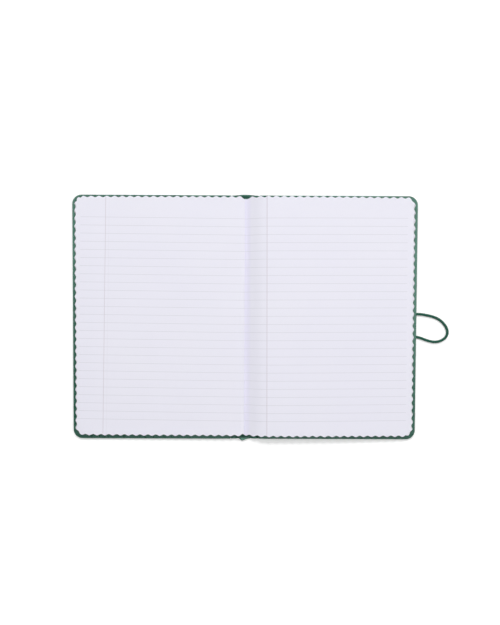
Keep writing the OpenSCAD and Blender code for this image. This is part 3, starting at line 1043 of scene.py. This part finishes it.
# Places along the loop: how far out from the cover, how far up the page, and the share of the way down
# from the middle of the cover's edge to the table.
LOOP_POINTS = (
    (0, 3.9, 0),
    (3, 3.9, 0.1),
    (7.5, 3.3, 0.3),
    (12, 2.4, 0.5),
    (16.7, 1, 0.7),
    (21, -1.4, 0.9),
    (24.5, -4.7, 1),
    (26.7, -8.3, 1),
    (27.5, -11.9, 1),
    (26.6, -15.2, 1),
    (24.3, -17.7, 1),
    (20.9, -19.5, 0.9),
    (16.7, -20.2, 0.7),
    (12.3, -19.6, 0.5),
    (8, -18.3, 0.3),
    (4, -16.8, 0.1),
    (0, -15.8, 0),
)


def loop_route():
    """Centre line of the loop, a smooth curve through its places."""
    knots = []
    for out, up, drop in LOOP_POINTS:
        height = CORD_Z + (CORD_REST_Z - CORD_Z) * drop
        knots.append(Vector((HALF_W + out * MM, Y_MID + up * MM, height)))
    ahead = [knots[1] - knots[0]] + [(b - a) / 2 for a, b in zip(knots, knots[2:])] + [knots[-1] - knots[-2]]
    route = []
    steps = 24
    for k in range(len(knots) - 1):
        for j in range(steps):
            t = j / steps
            a = knots[k] * (2 * t**3 - 3 * t**2 + 1) + ahead[k] * (t**3 - 2 * t**2 + t)
            b = knots[k + 1] * (3 * t**2 - 2 * t**3) + ahead[k + 1] * (t**3 - t**2)
            route.append(a + b)
    route.append(knots[-1])
    return route


def build_loop(cloth):
    """Braided elastic cord: a round tube with crossing plaits raised on it."""
    route = loop_route()
    sides = 32
    plaits = 8
    lay = 5.5 * MM
    relief = 0.07
    vertices, faces, rings = [], [], []
    travelled = 0.0
    for k, centre in enumerate(route):
        if k:
            travelled += (centre - route[k - 1]).length
        along = (route[min(k + 1, len(route) - 1)] - route[max(k - 1, 0)]).normalized()
        if k in (0, len(route) - 1):
            along = Vector((1, 0, 0)) if k == 0 else Vector((-1, 0, 0))
        sideways = Vector((0, 0, 1)).cross(along).normalized()
        up = along.cross(sideways)
        ring = []
        for j in range(sides):
            angle = 2 * math.pi * j / sides
            twist = 2 * math.pi * travelled / lay
            over = abs(math.sin(plaits / 2 * angle + twist)) * abs(math.sin(plaits / 2 * angle - twist))
            radius = CORD_D / 2 * (1 - relief + relief * over)
            ring.append(len(vertices))
            vertices.append(centre + (sideways * math.cos(angle) + up * math.sin(angle)) * radius)
        rings.append(ring)
    for ring_a, ring_b in zip(rings, rings[1:]):
        bridge(faces, ring_a, ring_b, closed=True)
    faces.append(tuple(reversed(rings[0])))
    faces.append(tuple(rings[-1]))
    piece = add_piece("elastic_cord", vertices, faces, [cloth], crease=80)
    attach(piece, "back_cover")
    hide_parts("elastic_loop")


# Floor and light

# Side of the square floor, how far it lies below the case, and its level of grey.
FLOOR_SIZE = 6.0
FLOOR_DROP = 0.05 * MM
FLOOR_GREY = 0.9

# Light of the floor's own near the book, and the distances between which it grows to full white.
NEAR_WHITE = 0.14
NEAR_REACH = 0.17
FAR_REACH = 1.1

# Light from all around, then the point that the lamps aim at, and each lamp's place, width and power.
WORLD_LIGHT = 0.1
LAMPS_AIM = Vector((0, 0, 0))
LAMPS = {
    "key": ((0, 2.2, 3.2), 0.8, 73),
    "overhead": ((0.1, -0.5, 2.6), 1.4, 8),
    "left_softbox": ((-0.8, 0.35, 1.7), 0.8, 6.7),
    "right_softbox": ((0.8, 0.25, 1.7), 0.9, 10.4),
}


def white_to_camera(tree, strength):
    """Light of its own that only the camera sees; the strength is a number or the output of a node."""
    rays = tree.nodes.new("ShaderNodeLightPath")
    level = tree.nodes.new("ShaderNodeMath")
    level.operation = "MULTIPLY"
    if isinstance(strength, bpy.types.NodeSocket):
        tree.links.new(strength, level.inputs[1])
    else:
        level.inputs[1].default_value = strength
    tree.links.new(rays.outputs["Is Camera Ray"], level.inputs[0])
    return level.outputs[0]


def far_level(tree):
    """A little light under the object, growing to white far from it, where the lamps no longer reach."""
    place = tree.nodes.new("ShaderNodeTexCoord")
    away = tree.nodes.new("ShaderNodeVectorMath")
    away.operation = "LENGTH"
    tree.links.new(place.outputs["Object"], away.inputs[0])
    grow = tree.nodes.new("ShaderNodeMapRange")
    limits = {"From Min": NEAR_REACH, "From Max": FAR_REACH, "To Min": NEAR_WHITE, "To Max": 1.0}
    for name, value in limits.items():
        grow.inputs[name].default_value = value
    tree.links.new(away.outputs["Value"], grow.inputs["Value"])
    return grow.outputs["Result"]


def add_floor():
    size = FLOOR_SIZE / 2
    corners = [(-size, -size), (size, -size), (size, size), (-size, size)]
    mesh = bpy.data.meshes.new("floor")
    mesh.from_pydata([(x, y, -FLOOR_DROP) for x, y in corners], [], [(0, 1, 2, 3)])
    floor = bpy.data.objects.new("floor", mesh)
    bpy.context.scene.collection.objects.link(floor)
    material = bpy.data.materials.new("floor")
    material.use_nodes = True
    tree = material.node_tree
    shader = tree.nodes["Principled BSDF"]
    shader.inputs["Base Color"].default_value = (FLOOR_GREY, FLOOR_GREY, FLOOR_GREY, 1)
    shader.inputs["Roughness"].default_value = 1.0
    shader.inputs["Specular IOR Level"].default_value = 0.0
    shader.inputs["Emission Color"].default_value = (1, 1, 1, 1)
    tree.links.new(white_to_camera(tree, far_level(tree)), shader.inputs["Emission Strength"])
    mesh.materials.append(material)


def add_world(strength):
    world = bpy.data.worlds.new("studio")
    bpy.context.scene.world = world
    world.use_nodes = True
    tree = world.node_tree
    background = tree.nodes["Background"]
    background.inputs["Color"].default_value = (1, 1, 1, 1)
    seen = white_to_camera(tree, 1.0)
    level = tree.nodes.new("ShaderNodeMath")
    level.operation = "MAXIMUM"
    level.inputs[1].default_value = strength
    tree.links.new(seen, level.inputs[0])
    tree.links.new(level.outputs[0], background.inputs["Strength"])


def add_area_light(name, place, size, power):
    """A round lamp that aims at the middle of the book."""
    data = bpy.data.lights.new(name, "AREA")
    data.shape = "DISK"
    data.size = size
    data.energy = power
    lamp = bpy.data.objects.new(name, data)
    bpy.context.scene.collection.objects.link(lamp)
    lamp.location = place
    lamp.rotation_mode = "QUATERNION"
    lamp.rotation_quaternion = (LAMPS_AIM - Vector(place)).to_track_quat("-Z", "Y")


add_camera()

green = covering_cloth("green_covering", GREEN, GREEN_DARK, GREEN_WORN)
# The headband's bead gets the same painted highlight and painted shade on its ribs.
band_green = woven_cord("band_cloth", GREEN, GREEN_DARK)
elastic_green = woven_cord("green_elastic", CORD_LIT_GREEN, CORD_SHADE)
end_paper = plain_paper("end_paper")
board = grey_board()
gauze = open_gauze()
left_page = page_paper(
    "left_page",
    rule_turn=math.radians(-0.55),
    margin_turn=math.radians(-0.95),
    first_rule=85.3 * MM,
    rule_from=-142.5 * MM,
    rule_to=1 * MM,
    fold_shade_w=0.3 * MM,
    margins=((-120.9 * MM, 0.3 * MM, 1.0), (-118 * MM, 0.25 * MM, 0.2)),
)
right_page = page_paper(
    "right_page",
    rule_turn=math.radians(0.4),
    margin_turn=math.radians(0.25),
    first_rule=85.4 * MM,
    rule_from=-1 * MM,
    rule_to=139.5 * MM,
    fold_shade_w=6 * MM,
    margins=((18.95 * MM, 0.4 * MM, 1.0),),
)

build_loop(elastic_green)
build_leaves([left_page, leaf_edges(), end_paper, right_page])
for page in (LEFT, RIGHT):
    build_covering(page, green)
    build_joint_cloth(page, green)
    build_endleaf(page, end_paper)
build_spine_cloth(green)
build_band("headband", 1, band_green)
build_band("tailband", -1, band_green)
for name, material, slot in (
    ("front_board", board, "grey_board"),
    ("back_board", board, "grey_board"),
    ("spine_strip", board, "grey_board"),
    ("spine_lining", gauze, "gauze"),
):
    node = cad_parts[name]
    node.data.materials.clear()
    node.data.materials.append(material)

add_floor()
add_world(WORLD_LIGHT)
for name, (place, size, power) in LAMPS.items():
    add_area_light(name, place, size, power)
bpy.context.scene.view_settings.view_transform = "Standard"
